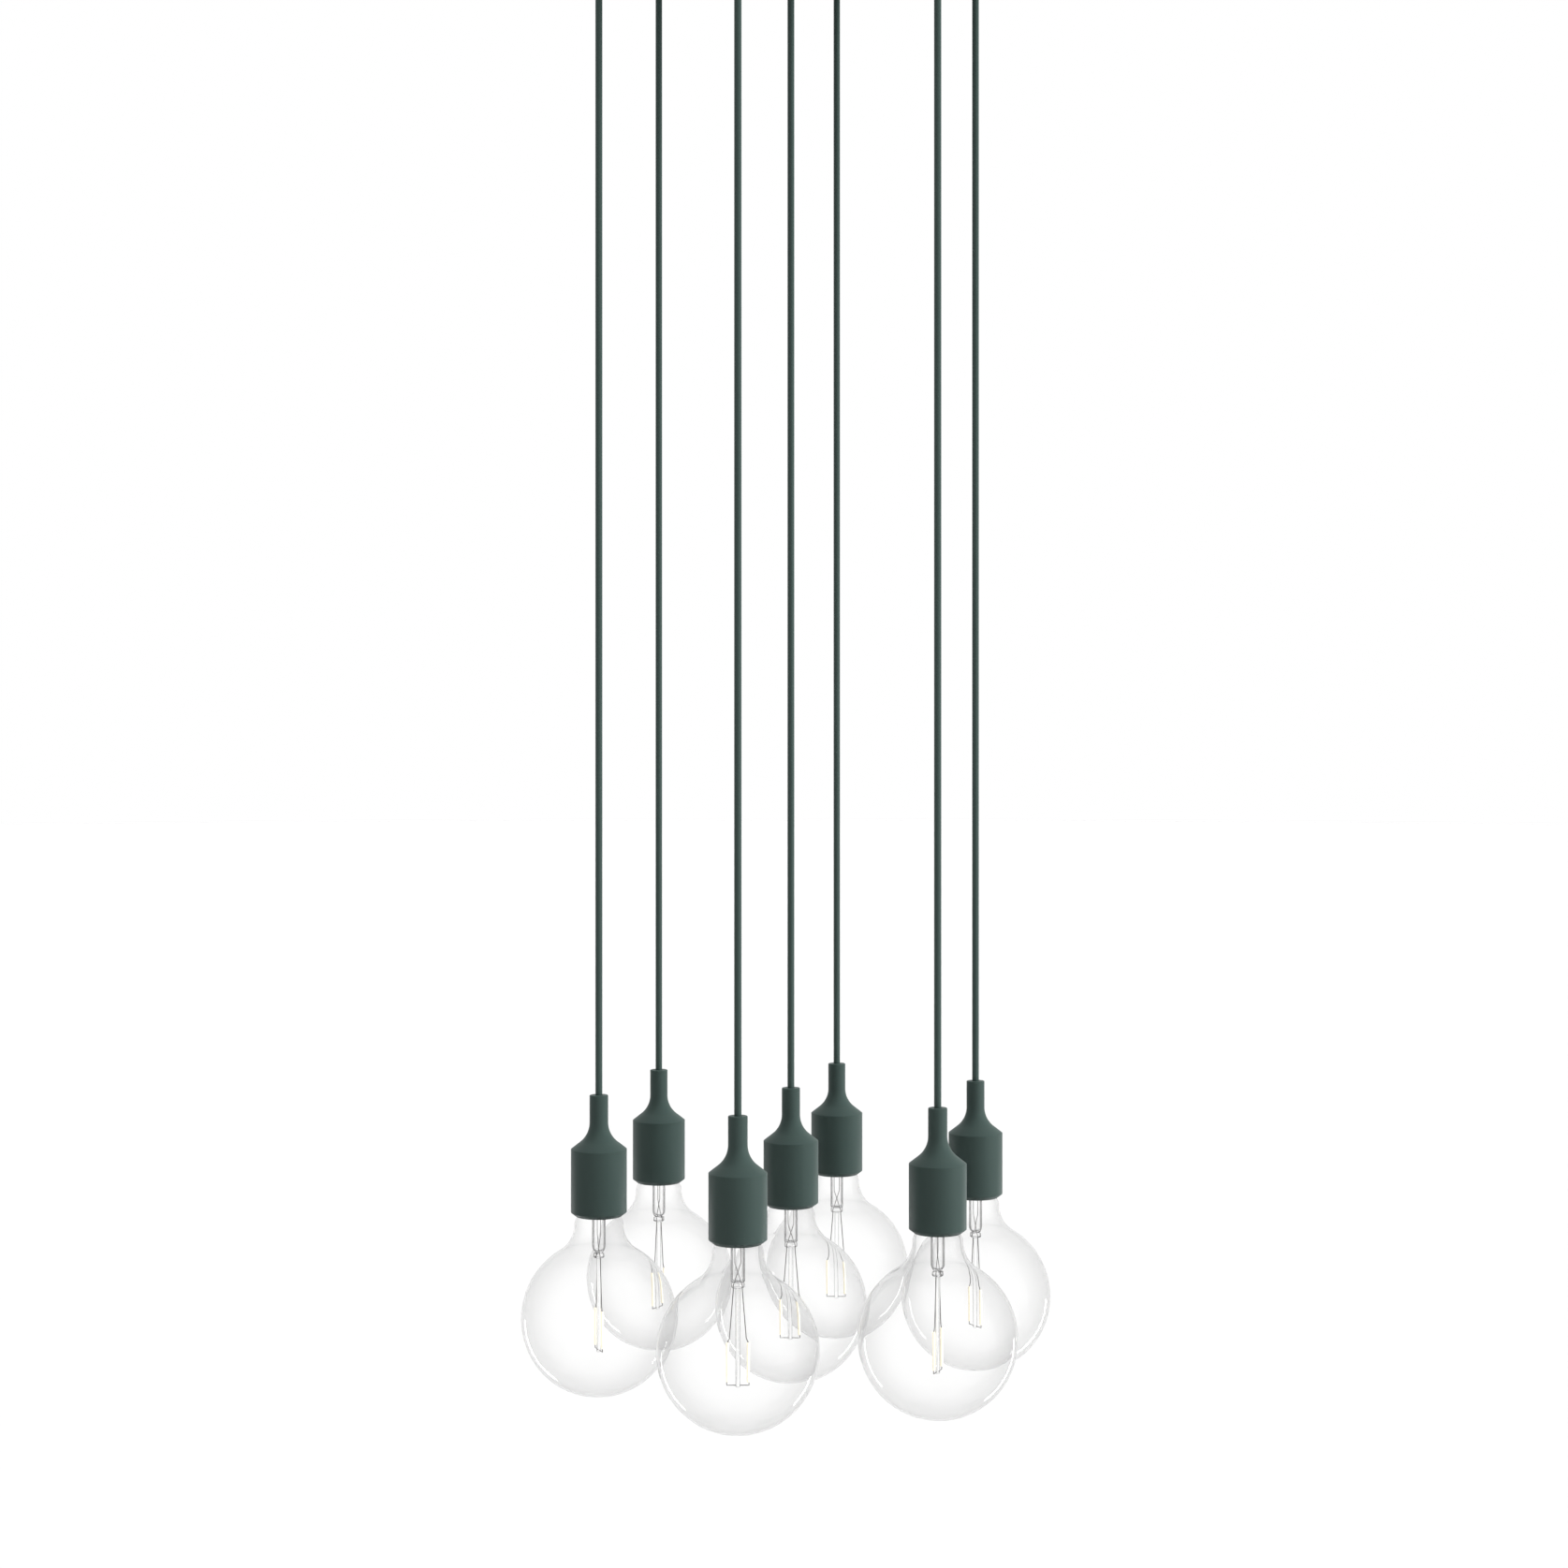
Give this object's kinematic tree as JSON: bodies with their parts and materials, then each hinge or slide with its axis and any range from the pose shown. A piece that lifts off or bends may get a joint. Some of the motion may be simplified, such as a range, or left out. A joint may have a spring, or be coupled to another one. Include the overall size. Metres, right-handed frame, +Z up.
{
  "type": "cluster pendant light",
  "caption": "Cluster of globe lamps on straight cords with slim-necked sleeves, arranged in a ring round a centre one under a round ceiling canopy.",
  "frame": {"origin": "middle of the bracket strap's face that lies against the ceiling, on the centre pendant's line", "axes": "+Z up, square to the ceiling; +X along the bracket strap, to the right seen from the front; +Y level, away from the front"},
  "size_m": [0.4346, 0.4354, 1.2419],
  "materials": {
    "canopy_paint": "fine matte powder coat",
    "zinc_steel": "zinc plated",
    "screw_steel": "painted screw heads",
    "grip_plastic": "matte",
    "terminal_plastic": "matte",
    "cord_jacket": "matte",
    "silicone": "matte silicone",
    "holder_plastic": "satin",
    "clear_glass": "clear, polished",
    "cap_metal": "bright",
    "lamp_insulator": "black, glazed",
    "stem_glass": "clear, with wires and filaments"
  },
  "bodies": {
    "root": {"canopy_cover": "canopy_paint", "ceiling_bracket": "zinc_steel", "canopy_screws": "screw_steel", "cord_grips": "grip_plastic", "grip_nuts": "zinc_steel", "terminal_block": "terminal_plastic", "cord_tails": "cord_jacket"},
    "pendant_1": {"cord_1": "cord_jacket", "lampholder_1": "holder_plastic"},
    "sleeve_body_1": {"sleeve_1": "silicone"},
    "lamp_base_1": {"lamp_contact_1": "lamp_insulator"},
    "lamp_1": {"lamp_glass_1": "clear_glass", "lamp_cap_1": "cap_metal", "lamp_filaments_1": "stem_glass"},
    "pendant_2": {"cord_2": "cord_jacket", "lampholder_2": "holder_plastic"},
    "sleeve_body_2": {"sleeve_2": "silicone"},
    "lamp_base_2": {"lamp_contact_2": "lamp_insulator"},
    "lamp_2": {"lamp_glass_2": "clear_glass", "lamp_cap_2": "cap_metal", "lamp_filaments_2": "stem_glass"},
    "pendant_3": {"cord_3": "cord_jacket", "lampholder_3": "holder_plastic"},
    "sleeve_body_3": {"sleeve_3": "silicone"},
    "lamp_base_3": {"lamp_contact_3": "lamp_insulator"},
    "lamp_3": {"lamp_glass_3": "clear_glass", "lamp_cap_3": "cap_metal", "lamp_filaments_3": "stem_glass"},
    "pendant_4": {"cord_4": "cord_jacket", "lampholder_4": "holder_plastic"},
    "sleeve_body_4": {"sleeve_4": "silicone"},
    "lamp_base_4": {"lamp_contact_4": "lamp_insulator"},
    "lamp_4": {"lamp_glass_4": "clear_glass", "lamp_cap_4": "cap_metal", "lamp_filaments_4": "stem_glass"},
    "pendant_5": {"cord_5": "cord_jacket", "lampholder_5": "holder_plastic"},
    "sleeve_body_5": {"sleeve_5": "silicone"},
    "lamp_base_5": {"lamp_contact_5": "lamp_insulator"},
    "lamp_5": {"lamp_glass_5": "clear_glass", "lamp_cap_5": "cap_metal", "lamp_filaments_5": "stem_glass"},
    "pendant_6": {"cord_6": "cord_jacket", "lampholder_6": "holder_plastic"},
    "sleeve_body_6": {"sleeve_6": "silicone"},
    "lamp_base_6": {"lamp_contact_6": "lamp_insulator"},
    "lamp_6": {"lamp_glass_6": "clear_glass", "lamp_cap_6": "cap_metal", "lamp_filaments_6": "stem_glass"},
    "pendant_7": {"cord_7": "cord_jacket", "lampholder_7": "holder_plastic"},
    "sleeve_body_7": {"sleeve_7": "silicone"},
    "lamp_base_7": {"lamp_contact_7": "lamp_insulator"},
    "lamp_7": {"lamp_glass_7": "clear_glass", "lamp_cap_7": "cap_metal", "lamp_filaments_7": "stem_glass"}
  },
  "joints": [
    {"name": "pendant_swing_1", "type": "hinge", "parent": "root", "child": "pendant_1", "pos_m": [0, 0, -0.042], "axis": [0.7102, -0.704, 0], "range_deg": [-1, 1]},
    {"name": "sleeve_slide_1", "type": "slide", "parent": "pendant_1", "child": "sleeve_body_1", "axis": [0, 0, 1], "range_m": [0, 0.15]},
    {"name": "lamp_travel_1", "type": "slide", "parent": "pendant_1", "child": "lamp_base_1", "axis": [0, 0, -1], "range_m": [0, 0.0146]},
    {"name": "lamp_turn_1", "type": "hinge", "parent": "lamp_base_1", "child": "lamp_1", "pos_m": [0, 0, -1.1], "axis": [0, 0, -1], "range_deg": [0, 1440]},
    {"name": "pendant_swing_2", "type": "hinge", "parent": "root", "child": "pendant_2", "pos_m": [0.15485, 0.04222, -0.042], "axis": [0.263, -0.9648, 0], "range_deg": [-0.75, 20]},
    {"name": "sleeve_slide_2", "type": "slide", "parent": "pendant_2", "child": "sleeve_body_2", "axis": [0, 0, 1], "range_m": [0, 0.15]},
    {"name": "lamp_travel_2", "type": "slide", "parent": "pendant_2", "child": "lamp_base_2", "axis": [0, 0, -1], "range_m": [0, 0.0146]},
    {"name": "lamp_turn_2", "type": "hinge", "parent": "lamp_base_2", "child": "lamp_2", "pos_m": [0.15485, 0.04222, -1.1], "axis": [0, 0, -1], "range_deg": [0, 1440]},
    {"name": "pendant_swing_3", "type": "hinge", "parent": "root", "child": "pendant_3", "pos_m": [0.04086, 0.15521, -0.042], "axis": [0.967, -0.2546, 0], "range_deg": [-0.75, 20]},
    {"name": "sleeve_slide_3", "type": "slide", "parent": "pendant_3", "child": "sleeve_body_3", "axis": [0, 0, 1], "range_m": [0, 0.15]},
    {"name": "lamp_travel_3", "type": "slide", "parent": "pendant_3", "child": "lamp_base_3", "axis": [0, 0, -1], "range_m": [0, 0.0146]},
    {"name": "lamp_turn_3", "type": "hinge", "parent": "lamp_base_3", "child": "lamp_3", "pos_m": [0.04086, 0.15521, -1.1], "axis": [0, 0, -1], "range_deg": [0, 1440]},
    {"name": "pendant_swing_4", "type": "hinge", "parent": "root", "child": "pendant_4", "pos_m": [-0.11399, 0.11299, -0.042], "axis": [0.704, 0.7102, 0], "range_deg": [-0.75, 20]},
    {"name": "sleeve_slide_4", "type": "slide", "parent": "pendant_4", "child": "sleeve_body_4", "axis": [0, 0, 1], "range_m": [0, 0.15]},
    {"name": "lamp_travel_4", "type": "slide", "parent": "pendant_4", "child": "lamp_base_4", "axis": [0, 0, -1], "range_m": [0, 0.0146]},
    {"name": "lamp_turn_4", "type": "hinge", "parent": "lamp_base_4", "child": "lamp_4", "pos_m": [-0.11399, 0.11299, -1.1], "axis": [0, 0, -1], "range_deg": [0, 1440]},
    {"name": "pendant_swing_5", "type": "hinge", "parent": "root", "child": "pendant_5", "pos_m": [-0.15485, -0.04222, -0.042], "axis": [-0.263, 0.9648, 0], "range_deg": [-0.75, 20]},
    {"name": "sleeve_slide_5", "type": "slide", "parent": "pendant_5", "child": "sleeve_body_5", "axis": [0, 0, 1], "range_m": [0, 0.15]},
    {"name": "lamp_travel_5", "type": "slide", "parent": "pendant_5", "child": "lamp_base_5", "axis": [0, 0, -1], "range_m": [0, 0.0146]},
    {"name": "lamp_turn_5", "type": "hinge", "parent": "lamp_base_5", "child": "lamp_5", "pos_m": [-0.15485, -0.04222, -1.1], "axis": [0, 0, -1], "range_deg": [0, 1440]},
    {"name": "pendant_swing_6", "type": "hinge", "parent": "root", "child": "pendant_6", "pos_m": [-0.04086, -0.15521, -0.042], "axis": [-0.967, 0.2546, 0], "range_deg": [-0.75, 20]},
    {"name": "sleeve_slide_6", "type": "slide", "parent": "pendant_6", "child": "sleeve_body_6", "axis": [0, 0, 1], "range_m": [0, 0.15]},
    {"name": "lamp_travel_6", "type": "slide", "parent": "pendant_6", "child": "lamp_base_6", "axis": [0, 0, -1], "range_m": [0, 0.0146]},
    {"name": "lamp_turn_6", "type": "hinge", "parent": "lamp_base_6", "child": "lamp_6", "pos_m": [-0.04086, -0.15521, -1.1], "axis": [0, 0, -1], "range_deg": [0, 1440]},
    {"name": "pendant_swing_7", "type": "hinge", "parent": "root", "child": "pendant_7", "pos_m": [0.11399, -0.11299, -0.042], "axis": [-0.704, -0.7102, 0], "range_deg": [-0.75, 20]},
    {"name": "sleeve_slide_7", "type": "slide", "parent": "pendant_7", "child": "sleeve_body_7", "axis": [0, 0, 1], "range_m": [0, 0.15]},
    {"name": "lamp_travel_7", "type": "slide", "parent": "pendant_7", "child": "lamp_base_7", "axis": [0, 0, -1], "range_m": [0, 0.0146]},
    {"name": "lamp_turn_7", "type": "hinge", "parent": "lamp_base_7", "child": "lamp_7", "pos_m": [0.11399, -0.11299, -1.1], "axis": [0, 0, -1], "range_deg": [0, 1440]}
  ],
  "couplings": [
    {"joint": "lamp_travel_1", "follows": "lamp_turn_1", "m_per_rad": 0.00057757},
    {"joint": "lamp_travel_2", "follows": "lamp_turn_2", "m_per_rad": 0.00057757},
    {"joint": "lamp_travel_3", "follows": "lamp_turn_3", "m_per_rad": 0.00057757},
    {"joint": "lamp_travel_4", "follows": "lamp_turn_4", "m_per_rad": 0.00057757},
    {"joint": "lamp_travel_5", "follows": "lamp_turn_5", "m_per_rad": 0.00057757},
    {"joint": "lamp_travel_6", "follows": "lamp_turn_6", "m_per_rad": 0.00057757},
    {"joint": "lamp_travel_7", "follows": "lamp_turn_7", "m_per_rad": 0.00057757}
  ]
}
